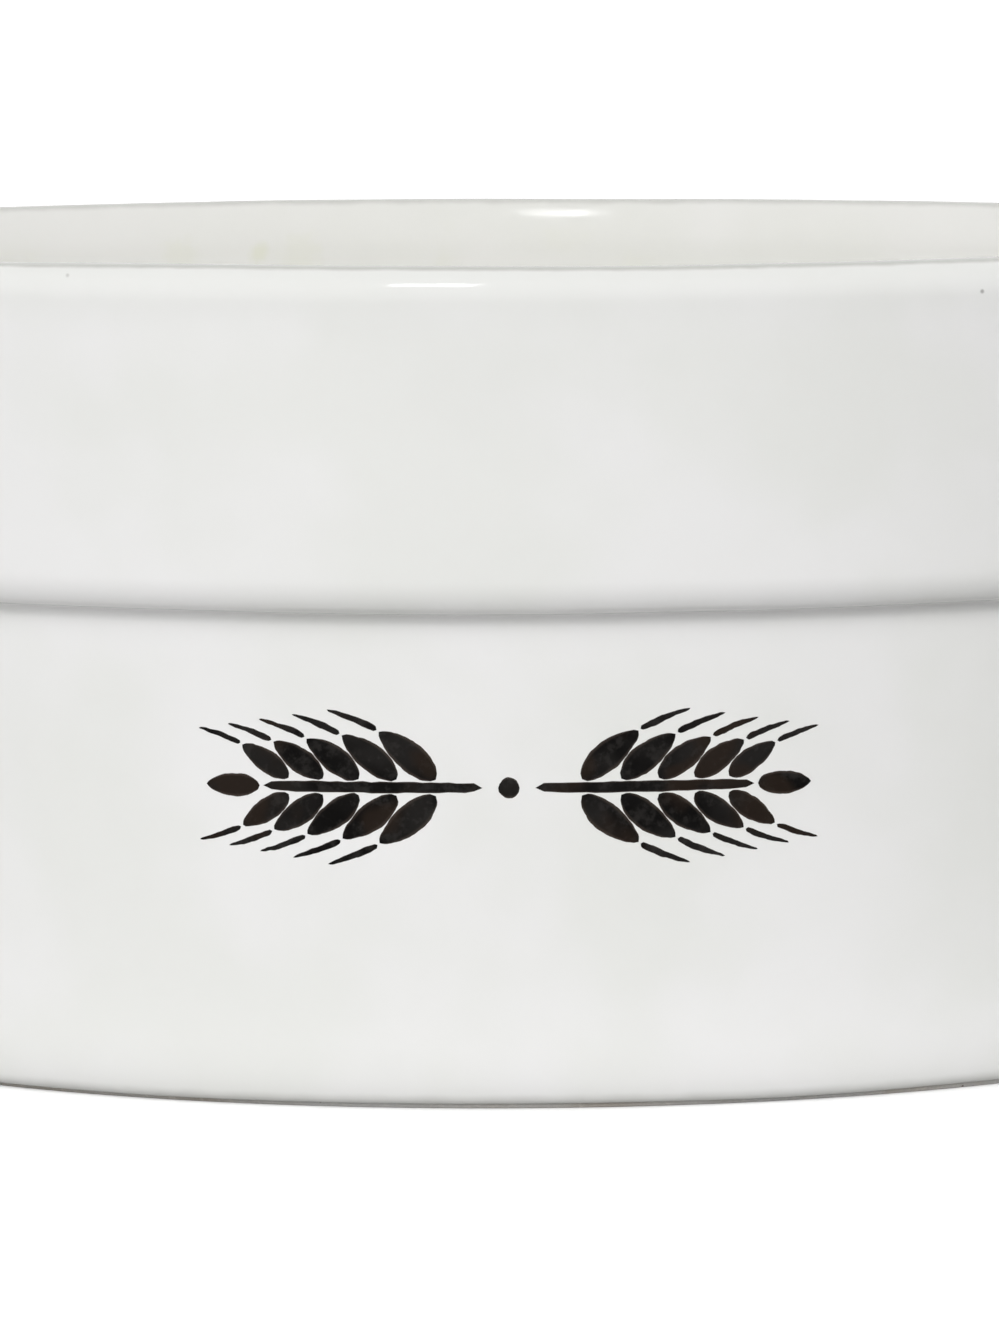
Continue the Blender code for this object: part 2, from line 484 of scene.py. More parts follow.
def inside_stations(sizes):
    """The lined bowl, from the crest down the wall and across the floor to the axis."""
    lip, flare, tilt = sizes.lip_radius, sizes.flare_radius, sizes.flare_angle
    corner, lip_end = sizes.bowl_corner, 2 * QUARTER - tilt
    top_radius = sizes.crest_radius - lip * math.cos(tilt) - flare * (1 - math.cos(tilt))
    top_height = sizes.height - lip * (1 - math.sin(tilt)) - flare * math.sin(tilt)
    foot_radius = top_radius - sizes.bowl_draft
    centre = (foot_radius - corner, sizes.floor_height + corner)
    made = bend((sizes.crest_radius, sizes.height - lip), (lip, lip), (QUARTER, lip_end), 14)
    made += bend((top_radius + flare, top_height), (flare, flare), (lip_end, 2 * QUARTER), 10)[1:]
    made += bend(centre, (corner, corner), DOWN, 14, hollow=True)
    return filled([*made, (0.0, sizes.floor_height, 0.0, 1.0)], INSIDE_STEP)


def foot_stations(sizes):
    """The bare foot ring, from under the heel round to the recess, its edges sponged soft."""
    outer = glaze_end(sizes) - sizes.foot_inset
    inner = sizes.recess_radius + RECESS_GAP
    bevel = sizes.foot_bevel
    made = [(outer, sizes.glaze_line + COAT, 1.0, 0.0)]
    made += bend((outer - bevel, bevel), (bevel, bevel), DOWN, 6)
    made += bend((inner + bevel, bevel), (bevel, bevel), (-QUARTER, -2 * QUARTER), 6)
    return filled([*made, (inner, sizes.recess + COAT, -1.0, 0.0)], FOOT_STEP)


# Trees that make the pieces


def grid(tree, rows, columns):
    """A grid of points, and the row and the column of each."""
    mesh = add(tree, "GeometryNodeMeshGrid", {"Vertices X": rows, "Vertices Y": columns})[0]
    index = add(tree, "GeometryNodeInputIndex")[0]
    column = maths("FLOORED_MODULO", index, columns)
    row = maths("FLOOR", (index + 0.5) / columns)
    return mesh, row, column


def attribute(tree, name, kind):
    """What the points carry under a name."""
    return add(tree, "GeometryNodeInputNamedAttribute", {"Name": name}, data_type=kind)[0]


def stored(geometry, name, kind, value):
    """Geometry whose points carry a value under a name."""
    inputs = {"Geometry": geometry, "Name": name, "Value": value}
    return output("GeometryNodeStoreNamedAttribute", inputs, data_type=kind, domain="POINT")


def positioned(geometry, place):
    """Geometry with each of its points moved to its place."""
    return output("GeometryNodeSetPosition", {"Geometry": geometry, "Position": place})


def merged(geometry, distance):
    """Geometry whose points are one where they lie closer than distance."""
    return output("GeometryNodeMergeByDistance", {"Geometry": geometry, "Distance": distance})


def joined(*parts):
    """Several geometries as one."""
    node = parts[0].tree.nodes.new("GeometryNodeJoinGeometry")
    for part in parts:
        feed(node.inputs[0], part)
    return Term(node.outputs[0])


def finished(geometry, finish, out):
    """Ends a tree: its copies are made real and take their finish."""
    whole = output("GeometryNodeRealizeInstances", {"Geometry": geometry})
    feed(out["Geometry"], output("GeometryNodeSetMaterial", {"Geometry": whole, "Material": finish}))


def turned_coat():
    """Turns an outline of points into a vessel, and lays slow waves in its free surfaces.

    The outline's points carry the attributes lean, the way its surface faces, and free, how much
    of the waves it takes.
    """
    takes = {"Outline": "Geometry", "Sides": 288, "Finish": "Material"}
    takes |= {"Swell Height": 0.0003, "Swell Length": 0.075}
    takes |= {"Ripple Height": 0.00006, "Ripple Length": 0.022}
    tree, given, out = group("Geometry", takes, "Geometry")
    outline, sides = given["Outline"], given["Sides"]
    count = output("GeometryNodeAttributeDomainSize", {"Geometry": outline}, component="MESH")
    mesh, row, column = grid(tree, sides + 1.0, count)
    turn = row * math.tau / sides

    def sampled(kind, value):
        inputs = {"Geometry": outline, "Value": value, "Index": column}
        return output("GeometryNodeSampleIndex", inputs, data_type=kind, domain="POINT")

    def round_the_axis(vector):
        inputs = {"Vector": sampled("FLOAT_VECTOR", vector), "Angle": turn}
        return output("ShaderNodeVectorRotate", inputs, rotation_type="Z_AXIS")

    place = round_the_axis(add(tree, "GeometryNodeInputPosition")[0])
    lean = round_the_axis(attribute(tree, "lean", "FLOAT_VECTOR"))
    free = sampled("FLOAT", attribute(tree, "free", "FLOAT"))

    def waves(kind, offset):
        moved = vectors("ADD", place, (offset, 0.0, 0.0))
        share = smooth_step(noise(moved, 1.0 / given[kind + " Length"], 1.0, 0.4), 0.2, 0.8)
        return share * given[kind + " Height"]

    depth = waves("Swell", SWELL_OFFSET) + waves("Ripple", RIPPLE_OFFSET)
    turned = positioned(mesh, vectors("SUBTRACT", place, scaled(lean, depth * free)))
    smooth = output("GeometryNodeSetShadeSmooth", {"Geometry": merged(turned, 2e-6)})
    finished(smooth, given["Finish"], out)
    return tree


def flat_blade():
    """A flat blade from its root along +X: a grain, a bristle, a stalk or a dot.

    Its width swells and narrows to a point at both ends, and the attribute edge runs from 0 on its
    middle line to 1 on its border.
    """
    takes = {"Length": 0.01, "Width": 0.004, "Swell": 0.86, "Blunt": 0.62, "Bow": GRAIN_BOW}
    tree, given, out = group("Geometry", takes, "Geometry")
    steps, strips = 26, 8
    mesh, row, column = grid(tree, steps + 1, strips + 1)
    along = row / steps
    across = column / (strips / 2) - 1.0
    swell = maths("MAXIMUM", maths("SINE", along ** given["Swell"] * math.pi), 0.0)
    half = swell ** given["Blunt"] * given["Width"] * 0.5
    x = along * given["Length"]
    y = x * along * given["Bow"] + across * half
    blade = positioned(mesh, xyz(x, y, 0.0))
    blade = stored(blade, "edge", "FLOAT", maths("ABSOLUTE", across))
    feed(out["Geometry"], merged(blade, 1e-6))
    return tree


# What a pair of ears takes, in the words of its settings
EAR_PLACES = ("Stalk Start", "First Pair", "Spacing", "Grain Lean")
EAR_SIZES = ("Grain Length", "Grain Width", "Stalk Width", "Awn Length", "Awn Width")
EAR_SOCKETS = {"Pairs": "Int"} | dict.fromkeys(EAR_PLACES + EAR_SIZES, "Float")


def wheat_ears():
    """Two wheat ears with their tips outward, and a dot between them, laid flat on XY."""
    tree, given, out = group("Geometry", EAR_SOCKETS, "Geometry")
    pairs, spacing = given["Pairs"], given["Spacing"]
    index = add(tree, "GeometryNodeInputIndex")[0]
    pair = maths("FLOOR", (index + 0.25) / 2.0)
    side = 1.0 - maths("FLOORED_MODULO", index, 2.0) * 2.0
    share = pair / (pairs - 1.0)
    scale = 1.0 - share * GRAIN_SHRINK
    lean = given["Grain Lean"] * (1.0 - share * LEAN_DROP)
    root = given["First Pair"] + spacing * (pair - share * share * CROWDING)
    clear = given["Stalk Width"] * 0.5 + GRAIN_CLEARANCE
    reach = given["Grain Length"] * scale
    along, across = reach * maths("COSINE", lean), reach * maths("SINE", lean)

    def blade(length, width, **shape):
        return placed(tree, flat_blade, Length=length, Width=width, **shape)[0]

    def pairs_of(shape, x, y, turn, size):
        spot = {"Count": pairs * 2.0, "Position": xyz(x, y * side, 0.0)}
        inputs = {
            "Points": output("GeometryNodePoints", spot),
            "Instance": shape,
            "Rotation": xyz(0.0, 0.0, turn * side),
            "Scale": xyz(size, size * side, 1.0),
        }
        return output("GeometryNodeInstanceOnPoints", inputs)

    def moved(shape, x, size=(1.0, 1.0, 1.0)):
        inputs = {"Geometry": shape, "Translation": xyz(x, 0.0, 0.0), "Scale": size}
        return output("GeometryNodeTransform", inputs)

    grain = blade(given["Grain Length"], given["Grain Width"])
    grains = pairs_of(grain, root, clear, lean, scale)
    awn = blade(given["Awn Length"], given["Awn Width"], Swell=0.55, Blunt=0.45, Bow=-0.10)
    awn_x = root + along + across * -GRAIN_BOW + AWN_GAP_ALONG
    awn_y = clear + across + along * GRAIN_BOW + AWN_GAP_ACROSS
    awns = pairs_of(awn, awn_x, awn_y, lean * AWN_TURN, 1.0 - share * AWN_SHRINK)
    stalk_end = given["First Pair"] + spacing * (pairs - (1.0 + CROWDING)) + STALK_BEYOND
    stalk_length = stalk_end - given["Stalk Start"]
    stalk = blade(stalk_length, given["Stalk Width"], Swell=1.0, Blunt=0.14, Bow=0.0)
    stalk = moved(stalk, given["Stalk Start"])
    tip = blade(given["Grain Length"] * TIP_LENGTH, given["Grain Width"] * TIP_WIDTH, Bow=0.0)
    ear = joined(grains, awns, stalk, moved(tip, stalk_end + TIP_GAP))
    other = moved(ear, 0.0, (-1.0, 1.0, 1.0))
    dot = blade(DOT_SIZE, DOT_SIZE, Swell=1.0, Blunt=0.5, Bow=0.0)
    whole = joined(ear, other, moved(dot, -DOT_SIZE / 2))
    feed(out["Geometry"], output("GeometryNodeRealizeInstances", {"Geometry": whole}))
    return tree


def stamped_mark():
    """Stamps a flat mark on the wall: wraps it round, drops it on the glaze and gives it body."""
    takes = {"Base": "Geometry", "Wall": "Object", "Finish": "Material"} | EAR_SOCKETS
    takes |= {"Wall Radius": 0.146, "Mark Height": 0.052, "Ragged": 0.0002, "Film": 0.00004}
    tree, given, out = group("Geometry", takes, "Geometry")
    ears = {label.replace(" ", "_"): given[label] for label in EAR_SOCKETS}
    flat = placed(tree, wheat_ears, **ears)[0]
    edge = attribute(tree, "edge", "FLOAT")
    spot = add(tree, "GeometryNodeInputPosition")[0]
    shift = vectors("SUBTRACT", noise(spot, 480.0, 2.5, 0.6, "Color"), (0.5, 0.5, 0.5))
    wander = smooth_step(edge, 0.5, 1.0) * given["Ragged"] * 3.0
    x, y, _ = parts_of(vectors("ADD", spot, scaled(shift, wander)))
    turn = x / given["Wall Radius"]
    away = xyz(maths("SINE", turn), maths("COSINE", turn) * -1.0, 0.0)
    level = xyz(0.0, 0.0, y + given["Mark Height"])
    ray = {
        "Target Geometry": output("GeometryNodeObjectInfo", {"Object": given["Wall"]}, "Geometry"),
        "Source Position": vectors("ADD", scaled(away, RAY_START), level),
        "Ray Direction": scaled(away, -1.0),
        "Ray Length": RAY_LENGTH,
    }
    hit = add(tree, "GeometryNodeRaycast", ray)
    # The attribute is stored before the flat mark moves, from the same rays that place it
    marked = stored(flat, "away", "FLOAT_VECTOR", hit["Hit Normal"])
    normal = attribute(tree, "away", "FLOAT_VECTOR")
    under = positioned(marked, vectors("ADD", hit["Hit Position"], scaled(normal, -INK_BED)))
    faces = {"Mesh": under, "Offset Scale": 0.0, "Individual": False}
    raised = add(tree, "GeometryNodeExtrudeMesh", faces, mode="FACES")
    lift = scaled(normal, (1.0 - edge**6.0 * 0.8) * given["Film"] + INK_BED)
    lifted = {"Geometry": raised["Mesh"], "Selection": raised["Top"], "Offset": lift}
    body = output("GeometryNodeSetPosition", lifted)
    back = output("GeometryNodeFlipFaces", {"Mesh": under})
    finished(merged(joined(body, back), 1e-7), given["Finish"], out)
    return tree


def kept(name, base, tree, inputs, sharp=math.radians(38)):
    """Runs a tree on a base mesh and keeps the result as a plain mesh with clean normals."""
    holder = bpy.data.objects.new(name, base)
    bpy.context.scene.collection.objects.link(holder)
    modifier = holder.modifiers.new("Form", "NODES")
    modifier.node_group = tree
    for socket in tree.interface.items_tree:
        if socket.in_out == "INPUT" and socket.name in inputs:
            modifier[socket.identifier] = inputs[socket.name]
    graph = bpy.context.evaluated_depsgraph_get()
    data = bpy.data.meshes.new_from_object(
        holder.evaluated_get(graph), preserve_all_data_layers=True, depsgraph=graph
    )
    if not data.polygons:
        raise RuntimeError(f"{name} came out of its nodes with no faces")
    holder.modifiers.remove(modifier)
    holder.data = data
    bpy.data.meshes.remove(base)
    data.name = name
    mesh = bmesh.new()
    mesh.from_mesh(data)
    bmesh.ops.recalc_face_normals(mesh, faces=mesh.faces)
    mesh.to_mesh(data)
    mesh.free()
    data.shade_smooth()
    data.set_sharp_from_angle(angle=sharp)
    return holder


def turned_piece(name, surface, under, finish, waves=1.0):
    """A closed turned piece: its surface, with its waves, and the plain stations under it."""
    sizes, look = chosen()
    stations = [(*station, 1.0) for station in surface]
    stations += [(*station, 0.0) for station in under]
    if stations[0][0] > 0.0 or stations[-1][0] > 0.0:
        stations.append(stations[0])
    data = bpy.data.meshes.new(name)
    data.from_pydata([(r, 0.0, z) for r, z, *_ in stations], [], [])
    lean = data.attributes.new("lean", "FLOAT_VECTOR", "POINT")
    lean.data.foreach_set("vector", [part for _, _, out, up, _ in stations for part in (out, 0.0, up)])
    free = data.attributes.new("free", "FLOAT", "POINT")
    free.data.foreach_set("value", [share for *_, share in stations])
    inputs = {
        "Sides": sizes.sides,
        "Swell Height": look.swell_height * waves,
        "Swell Length": look.swell_length,
        "Ripple Height": look.ripple_height * waves,
        "Ripple Length": look.ripple_length,
        "Finish": finish,
    }
    return kept(name, data, shared(turned_coat), inputs)


# Finishes


def new_material(name):
    """A material with only its shader, its output and the object's coordinates."""
    made = bpy.data.materials.new(name)
    made.use_nodes = True
    place = add(made.node_tree, "ShaderNodeTexCoord")["Object"]
    return made, made.node_tree.nodes["Principled BSDF"].inputs, place


def dressed(shader, tone, rough, height, strength, distance):
    """Feeds a shader its colour, its roughness and the relief of its skin."""
    relief = {"Height": height, "Strength": strength, "Distance": distance}
    feed(shader["Base Color"], tone)
    feed(shader["Roughness"], rough)
    feed(shader["Normal"], output("ShaderNodeBump", relief))


def near_ring():
    """Masks a band of painted shade along a ring round the axis, its edges wandering a little with
    noise.
    """
    takes = {"Place": "Vector", "Radius": 0.1, "Height": 0.1}
    takes |= {"Full": 0.001, "Reach": 0.002, "Wander": 0.0003}
    tree, given, out = group("Shader", takes, "Mask")
    x, y, z = parts_of(given["Place"])
    across = length(xyz(x, y, 0.0)) - given["Radius"]
    distance = length(xyz(across, z - given["Height"], 0.0))
    distance = distance + (noise(given["Place"], 160.0, 2.0) - 0.5) * given["Wander"]
    feed(out["Mask"], smooth_step(distance, given["Full"], given["Reach"], 1.0, 0.0))
    return tree


def small_spot():
    """Masks one ragged spot, such as a pinhole or a stain, on the front or the back."""
    takes = {"Place": "Vector", "Centre": "Vector", "Reach": 0.0005, "Depth": 0.5}
    tree, given, out = group("Shader", takes, "Mask")
    offset = vectors("SUBTRACT", given["Place"], given["Centre"])
    distance = length(vectors("MULTIPLY", offset, (1.0, 0.2, 1.0))) / given["Reach"]
    distance = distance + (noise(given["Place"], 380.0, 2.0) - 0.5)
    feed(out["Mask"], smooth_step(distance, 0.2, 1.0, given["Depth"], 0.0))
    return tree


def glaze_clouding():
    """Uneven tone of a poured glaze: broad clouds, and finer ones inside them."""
    takes = {"Place": "Vector", "Cloud Size": 0.034, "Fleck Size": 0.006, "Seed": 0.0}
    tree, given, out = group("Shader", takes, "Clouds", "Flecks")
    place = vectors("ADD", given["Place"], xyz(0.0, 0.0, given["Seed"]))
    for label, size, detail in (("Clouds", "Cloud Size", 2.0), ("Flecks", "Fleck Size", 3.0)):
        feed(out[label], smooth_step(noise(place, 1.0 / given[size], detail), 0.36, 0.64))
    return tree


def kiln_specks():
    """Rare dark iron specks and pinholes, of uneven size."""
    takes = {"Place": "Vector", "Spacing": 0.02, "Largest": 0.0004, "Share": 0.3}
    tree, given, out = group("Shader", takes, "Mask")
    inputs = {"Vector": given["Place"], "Scale": 1.0 / given["Spacing"]}
    cells = add(tree, "ShaderNodeTexVoronoi", inputs, feature="F1")
    red, green, _ = parts_of(cells["Color"], "Color")
    size = given["Largest"] * red * (noise(given["Place"], 2600.0, 1.0) + 0.5)
    dot = smooth_step(cells["Distance"] * given["Spacing"], size * 0.4, size, 1.0, 0.0)
    feed(out["Mask"], dot * maths("LESS_THAN", green, given["Share"]))
    return tree


def glaze_skin():
    """Height of the glaze's skin: slight orange peel and the pits of burst bubbles."""
    takes = {"Place": "Vector", "Peel Size": 0.0022, "Pits": 0.0}
    tree, given, out = group("Shader", takes, "Height")
    peel = noise(given["Place"], 1.0 / given["Peel Size"], 1.5, 0.4)
    feed(out["Height"], peel - given["Pits"])
    return tree


def ring_band(place, radius, height, band):
    """Mask of a band of painted shade along a ring, from the band's full width, reach and wander."""
    full, reach, wander = band
    sizes = {"Radius": radius, "Height": height, "Full": full, "Reach": reach, "Wander": wander}
    return placed(place.tree, near_ring, Place=place, **sizes)["Mask"]


def crest_band(place, band):
    """Mask of a band of painted shade along the crest."""
    sizes, _ = chosen()
    return ring_band(place, sizes.crest_radius, sizes.height, band)


def spotted(place, tone, spots, colour):
    """The tone with each of the spots laid over it in one colour."""
    for centre, reach, depth in spots:
        spot = {"Centre": centre, "Reach": reach, "Depth": depth}
        mask = placed(place.tree, small_spot, Place=place, **spot)["Mask"]
        tone = mixed(mask, tone, colour)
    return tone


def outer_tint(place, tone):
    """The outer glaze with painted shade, darker and warmer towards the crest and darker where it ends
    over the foot, and its two pinholes.
    """
    sizes, look = chosen()
    # Painted shade: darker and warmer on the shoulder under the crest
    tone = mixed(crest_band(place, WARM_SHADE_BAND), tone, look.warm)
    # Painted shade: darker low on the heel, where the glaze ends over the foot
    low = ring_band(place, glaze_end(sizes), sizes.glaze_line, FOOT_SHADE_BAND)
    return spotted(place, mixed(low * 0.7, tone, look.thin), PINHOLES, look.pinhole)


def stained_liner(place, tone):
    """Faint, soft stains in the liner, and three stronger ones near its mouth."""
    _, look = chosen()
    share = smooth_step(noise(place, 45.0, 3.0), 0.58, 0.78) * 0.28
    return spotted(place, mixed(share, tone, look.stain), STAINS, look.stain)


def glaze_material(name, colour, cloud_depth, peel, gloss, marks_and_shade=None, crest=None):
    """Gloss glaze with clouding, specks, a dark line of painted shade along the crest and a softly
    uneven skin.

    Where the glaze pooled it is a little darker and greener. The marks_and_shade is a function
    that adds the glaze's own marks to its tone, and on the outer glaze painted shade as well.
    """
    _, look = chosen()
    made, shader, place = new_material(name)
    tree = place.tree
    clouds = placed(tree, glaze_clouding, Place=place, Seed=CLOUD_SEED)
    specks = placed(tree, kiln_specks, Place=place, Spacing=0.016, Share=0.4)["Mask"]
    depths = (cloud_depth, 0.8 * cloud_depth, 1.3 * cloud_depth)
    pooled = tuple(part * (1.0 - depth) for part, depth in zip(colour, depths))
    tone = mixed(clouds["Clouds"], pooled, colour)
    tone = mixed(clouds["Flecks"] * (0.35 * cloud_depth), tone, WHITE)
    if marks_and_shade:
        tone = marks_and_shade(place, tone)
    # The crest band darkens the crest with painted shade
    if crest:
        *band, depth = crest
        tone = mixed(crest_band(place, band) * depth, tone, look.thin)
    tone = mixed(specks, tone, IRON_SPECK)
    rough = smooth_step(clouds["Flecks"], 0.0, 1.0, gloss * 0.75, gloss * 1.35) + specks * 0.25
    skin = placed(tree, glaze_skin, Place=place, Pits=specks)["Height"]
    dressed(shader, tone, rough, skin, peel, 0.0001)
    shader["IOR"].default_value = 1.5
    return made


def clay_material():
    """Bare fired stoneware: toasted, sandy and quite matt."""
    clay = chosen()[1].clay
    made, shader, place = new_material("bare_stoneware")
    coarse = noise(place, 55.0, 4.0)
    grain = noise(place, 1400.0, 3.0)
    grit = {"Spacing": 0.0016, "Largest": 0.00035, "Share": 0.45}
    sand = placed(place.tree, kiln_specks, Place=place, **grit)["Mask"]
    toast = (clay[0] * 0.84, clay[1] * 0.78, clay[2] * 0.71)
    tone = mixed(smooth_step(coarse, 0.3, 0.7), clay, toast)
    tone = mixed(smooth_step(grain, 0.45, 0.8, 0.0, 0.35), tone, PALE_GRAIN)
    tone = mixed(sand, tone, DARK_SAND)
    rough = smooth_step(grain, 0.2, 0.8, 0.78, 0.95)
    dressed(shader, tone, rough, grain - sand * 0.6, 0.6, 0.00025)
    return made


def ink_material():
    """Ceramic ink under the glaze: near black, unevenly laid, and browner at its ragged edge."""
    _, look = chosen()
    made, shader, place = new_material("stamped_ink")
    mottle = noise(place, 420.0, 3.0, 0.6)
    load, heat, _ = parts_of(noise(place, 95.0, 2.0, wanted="Color"), "Color")
    edge = add(place.tree, "ShaderNodeAttribute", attribute_name="edge")["Fac"]
    heavy, worn = [tuple(part * size for part in look.ink) for size in (0.25, 2.2)]
    tone = mixed(smooth_step(load, 0.36, 0.60), heavy, look.ink)
    tone = mixed(smooth_step(mottle, 0.44, 0.74) * 0.6, tone, worn)
    tone = mixed(smooth_step(heat, 0.50, 0.66) * 0.7, tone, look.warm_ink)
    tone = mixed(smooth_step(edge, 0.70, 1.0) * 0.4, tone, INK_RIM)
    dressed(shader, tone, smooth_step(mottle, 0.3, 0.75, 0.16, 0.34), mottle, 0.3, 0.00005)
    shader["Specular IOR Level"].default_value = 0.03
    return made


# Pieces


class CROCK_OT_clay_body(bpy.types.Operator):
    """Turn the fired clay vessel with its bare foot ring"""

    bl_idname = "crock.clay_body"
    bl_label = "Clay Body"

    def execute(self, context):
        sizes, _ = chosen()
        depth = COAT - CLAY_OVERLAP
        bowl = sunk(inside_stations(sizes)[::2], depth)[::-1]
        outside = sunk(outside_stations(sizes)[::2], depth)
        base = [(0.0, sizes.recess + depth, 0.0, -1.0)]
        outline = bowl + outside + foot_stations(sizes) + base
        piece = turned_piece("clay_body", outline, [], clay_material(), waves=0.0)
        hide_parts("crock_body")
        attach(piece, "root")
        return {"FINISHED"}


class CROCK_OT_outer_glaze(bpy.types.Operator):
    """Lay the white glaze over the collar and wall"""

    bl_idname = "crock.outer_glaze"
    bl_label = "Outer Glaze"

    def execute(self, context):
        sizes, look = chosen()
        surface = outside_stations(sizes)
        under = sunk(surface[::2], COAT)[::-1]
        finish = glaze_material(
            "white_glaze", look.white, 0.045, 0.12, look.gloss, outer_tint, OUTER_CREST_SHADE
        )
        piece = turned_piece("white_glaze_coat", surface, under, finish)
        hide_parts("outer_glaze")
        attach(piece, "root")
        return {"FINISHED"}


class CROCK_OT_liner_glaze(bpy.types.Operator):
    """Pour the cream liner over the bowl"""

    bl_idname = "crock.liner_glaze"
    bl_label = "Liner Glaze"

    def execute(self, context):
        sizes, look = chosen()
        surface = inside_stations(sizes)
        under = sunk(surface[::2] + surface[-1:], COAT)[::-1]
        finish = glaze_material(
            "cream_liner", look.cream, 0.03, 0.20, look.liner_gloss, stained_liner, LINER_CREST_SHADE
        )
        piece = turned_piece("liner_glaze_coat", surface, under, finish)
        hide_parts("liner_glaze")
        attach(piece, "root")
        return {"FINISHED"}


class CROCK_OT_base_glaze(bpy.types.Operator):
    """Glaze the recess under the base, inside the bare foot ring"""

    bl_idname = "crock.base_glaze"
    bl_label = "Base Glaze"

    def execute(self, context):
        sizes, look = chosen()
        edge, low = sizes.recess_radius, sizes.recess
        turn = bend((edge - COAT, low + COAT), (COAT, COAT), DOWN, 6)
        surface = filled([*turn, (0.0, low, 0.0, -1.0)], BASE_STEP)
        top = [(0.0, low + COAT, 0.0, 1.0), (edge, low + COAT, 0.0, 1.0)]
        finish = glaze_material("base_glaze", look.white, 0.06, 0.3, look.liner_gloss)
        piece = turned_piece("base_glaze_disc", surface, top, finish, waves=0.4)
        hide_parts("base_glaze")
        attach(piece, "root")
        return {"FINISHED"}


class CROCK_OT_wheat_mark(bpy.types.Operator):
    """Stamp the pair of wheat ears on the wall under the collar"""

    bl_idname = "crock.wheat_mark"
    bl_label = "Wheat Mark"

    def execute(self, context):
        sizes, mark = context.scene.crock_sizes, context.scene.mark_sizes
        inputs = {
            "Wall": bpy.data.objects["white_glaze_coat"],
            "Wall Radius": sizes.collar_radius - sizes.collar_step - sizes.wall_draft / 2,
            "Mark Height": mark.height,
            "Ragged": mark.ragged,
            "Film": mark.film,
            "Finish": ink_material(),
        }
        for label in EAR_SOCKETS:
            inputs[label] = getattr(mark, label.lower().replace(" ", "_"))
        base = bpy.data.meshes.new("wheat_mark")
        piece = kept("wheat_mark", base, shared(stamped_mark), inputs, math.radians(50))
        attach(piece, "root")
        return {"FINISHED"}


# Stage


def seen_directly(tree):
    """1 for what the camera, a reflection or a look through glass sees, and 0 for light itself."""
    rays = add(tree, "ShaderNodeLightPath")
    seen = maths("MAXIMUM", rays["Is Camera Ray"], rays["Is Glossy Ray"])
    return maths("MAXIMUM", seen, rays["Is Transmission Ray"])


def floor_material(stage):
    """Pale studio floor: white to the camera and in reflections, with the crock's shadow kept.

    The light that it sends back up is set apart from that, near the crock, far from it and on its
    right.
    """
    made, shader, place = new_material("pale_floor")
    seen = seen_directly(place.tree)
    distance = length(place)
    near, far, right = [
        (tone,) * 3 for tone in (stage.near_floor, stage.far_floor, stage.right_floor)
    ]
    dull = mixed(smooth_step(distance, *NEAR_EDGE), near, far)
    beside = smooth_step(parts_of(place)[0], *RIGHT_SIDE)
    close = smooth_step(distance, *RIGHT_END, 1.0, 0.0)
    dull = mixed(beside * close * smooth_step(distance, *RIGHT_START), dull, right)
    feed(shader["Base Color"], mixed(seen, dull, FLOOR_TONE))
    feed(shader["Emission Strength"], seen * FLOOR_GLOW)
    shader["Emission Color"].default_value = (*WHITE, 1.0)
    shader["Roughness"].default_value = 1.0
    shader["Specular IOR Level"].default_value = 0.0
    return made


def studio_world(belt, horizon):
    """Soft light from all round, strongest halfway up and none from overhead, seen as white."""
    world = bpy.data.worlds.new("soft_studio")
    world.use_nodes = True
    tree = world.node_tree
    upward = parts_of(add(tree, "ShaderNodeTexCoord")["Generated"])[2]
    soft = smooth_step(upward, *BELT_RISE) * (belt - horizon) + horizon
    soft = soft * smooth_step(upward, *BELT_FALL, 1.0, 0.0)
    inputs = {"Value": seen_directly(tree), "To Min": soft, "To Max": 1.0}
    back = tree.nodes["Background"].inputs
    back["Color"].default_value = (*WHITE, 1.0)
    feed(back["Strength"], output("ShaderNodeMapRange", inputs))
    return world


def hung(lamp, place):
    """Puts a lamp's light in the scene at its place."""
    made = bpy.data.objects.new(lamp.name, lamp)
    made.location = place
    bpy.context.scene.collection.objects.link(made)
    return made


def panel_lamp(name, place, width, height, power):
    """A flat lamp that faces the crock."""
    lamp = bpy.data.lights.new(name, "AREA")
    lamp.shape = "RECTANGLE"
    lamp.size = width
    lamp.size_y = height
    lamp.energy = power
    made = hung(lamp, place)
    aim = Vector(LAMP_AIM) - made.location
    made.rotation_euler = aim.to_track_quat("-Z", "Y").to_euler()
    return made


def bowl_lamp(power):
    """A soft lamp over the mouth, whose light falls inside the rim and fills the bowl."""
    sizes, _ = chosen()
    reach = sizes.crest_radius - BOWL_LAMP_MARGIN
    lamp = bpy.data.lights.new("bowl", "SPOT")
    lamp.spot_size = 2 * math.atan(reach / (BOWL_LAMP_HEIGHT - sizes.height))
    lamp.spot_blend = 1.0
    lamp.shadow_soft_size = 0.05
    lamp.energy = power
    return hung(lamp, (0.0, 0.0, BOWL_LAMP_HEIGHT))


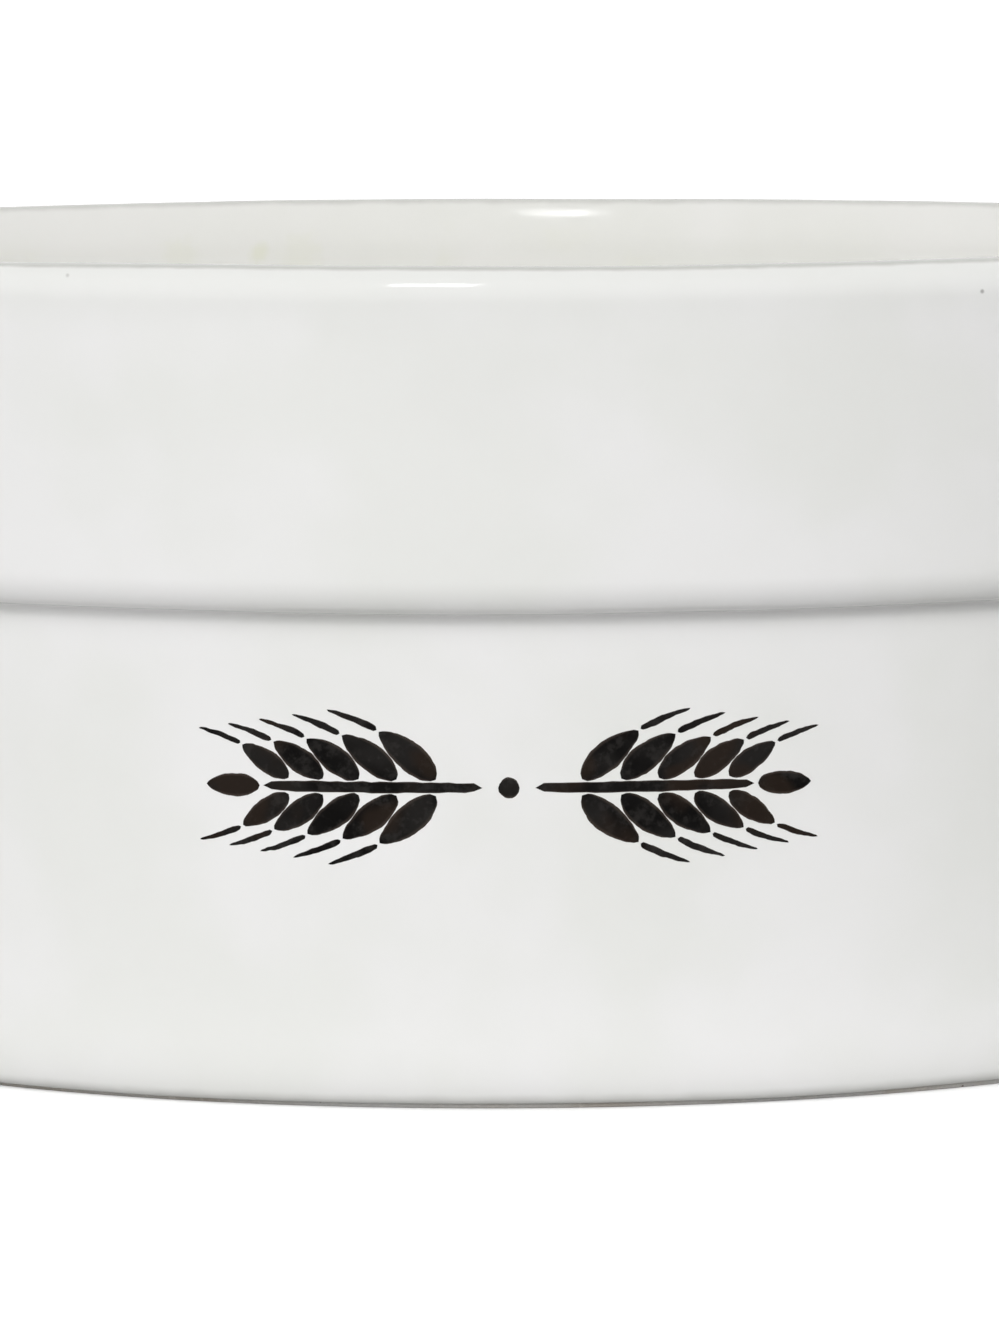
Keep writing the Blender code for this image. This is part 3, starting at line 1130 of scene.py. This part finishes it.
class CROCK_OT_stage(bpy.types.Operator):
    """Set the pale floor, the soft light and the camera"""

    bl_idname = "crock.stage"
    bl_label = "Stage"

    def execute(self, context):
        scene, stage = context.scene, context.scene.crock_stage
        floor = bpy.data.meshes.new("floor")
        corners = [(-1, -1), (1, -1), (1, 1), (-1, 1)]
        points = [(x * FLOOR_REACH, y * FLOOR_REACH, -FLOOR_DROP) for x, y in corners]
        floor.from_pydata(points, [], [(0, 1, 2, 3)])
        floor.materials.append(floor_material(stage))
        ground = bpy.data.objects.new("floor", floor)
        scene.collection.objects.link(ground)

        scene.world = studio_world(stage.belt, stage.horizon)
        key = panel_lamp("key", KEY_PLACE, stage.key_size, stage.key_size, stage.key_power)
        key.visible_diffuse = False
        front = panel_lamp(
            "front", FRONT_PLACE, stage.front_width, stage.front_height, stage.front_power
        )
        front.visible_glossy = False
        bowl_lamp(stage.bowl_power).visible_glossy = False

        seen = bpy.data.cameras.new("camera")
        seen.lens = stage.lens * 1000.0
        seen.sensor_width = 36.0
        seen.clip_end = 100.0
        camera = bpy.data.objects.new("camera", seen)
        turn = Matrix.Rotation(stage.yaw, 4, "Z") @ Matrix.Rotation(QUARTER - stage.pitch, 4, "X")
        turn = turn @ Matrix.Rotation(stage.roll, 4, "Z")
        eye = Matrix.Translation((0.0, -stage.distance, stage.eye_height))
        camera.matrix_world = eye @ turn
        scene.collection.objects.link(camera)
        scene.camera = camera
        scene.view_settings.view_transform = "Standard"
        return {"FINISHED"}


class CROCK_PT_panel(bpy.types.Panel):
    """Lists the crock's sizes, finishes and pieces"""

    bl_label = "Bread Crock"
    bl_idname = "CROCK_PT_panel"
    bl_space_type = "VIEW_3D"
    bl_region_type = "UI"
    bl_category = "Crock"

    def draw(self, context):
        for piece in PIECES:
            self.layout.operator(piece.bl_idname)
        for name in SETTINGS:
            settings = getattr(context.scene, name)
            box = self.layout.box()
            box.label(text=settings.bl_rna.description)
            for prop in settings.bl_rna.properties:
                if prop.identifier not in ("rna_type", "name"):
                    box.prop(settings, prop.identifier)


SETTINGS = {
    "crock_sizes": CrockSizes,
    "glaze_look": GlazeLook,
    "mark_sizes": MarkSizes,
    "crock_stage": StageSettings,
}
PIECES = (
    CROCK_OT_clay_body,
    CROCK_OT_outer_glaze,
    CROCK_OT_liner_glaze,
    CROCK_OT_base_glaze,
    CROCK_OT_wheat_mark,
    CROCK_OT_stage,
)
CLASSES = (*SETTINGS.values(), *PIECES, CROCK_PT_panel)


def register():
    for made in CLASSES:
        bpy.utils.register_class(made)
    for name, settings in SETTINGS.items():
        setattr(bpy.types.Scene, name, PointerProperty(type=settings))


def unregister():
    for name in SETTINGS:
        delattr(bpy.types.Scene, name)
    for made in reversed(CLASSES):
        bpy.utils.unregister_class(made)


def main():
    register()
    for piece in PIECES:
        getattr(bpy.ops.crock, piece.bl_idname.split(".")[1])()


if __name__ == "__main__":
    main()
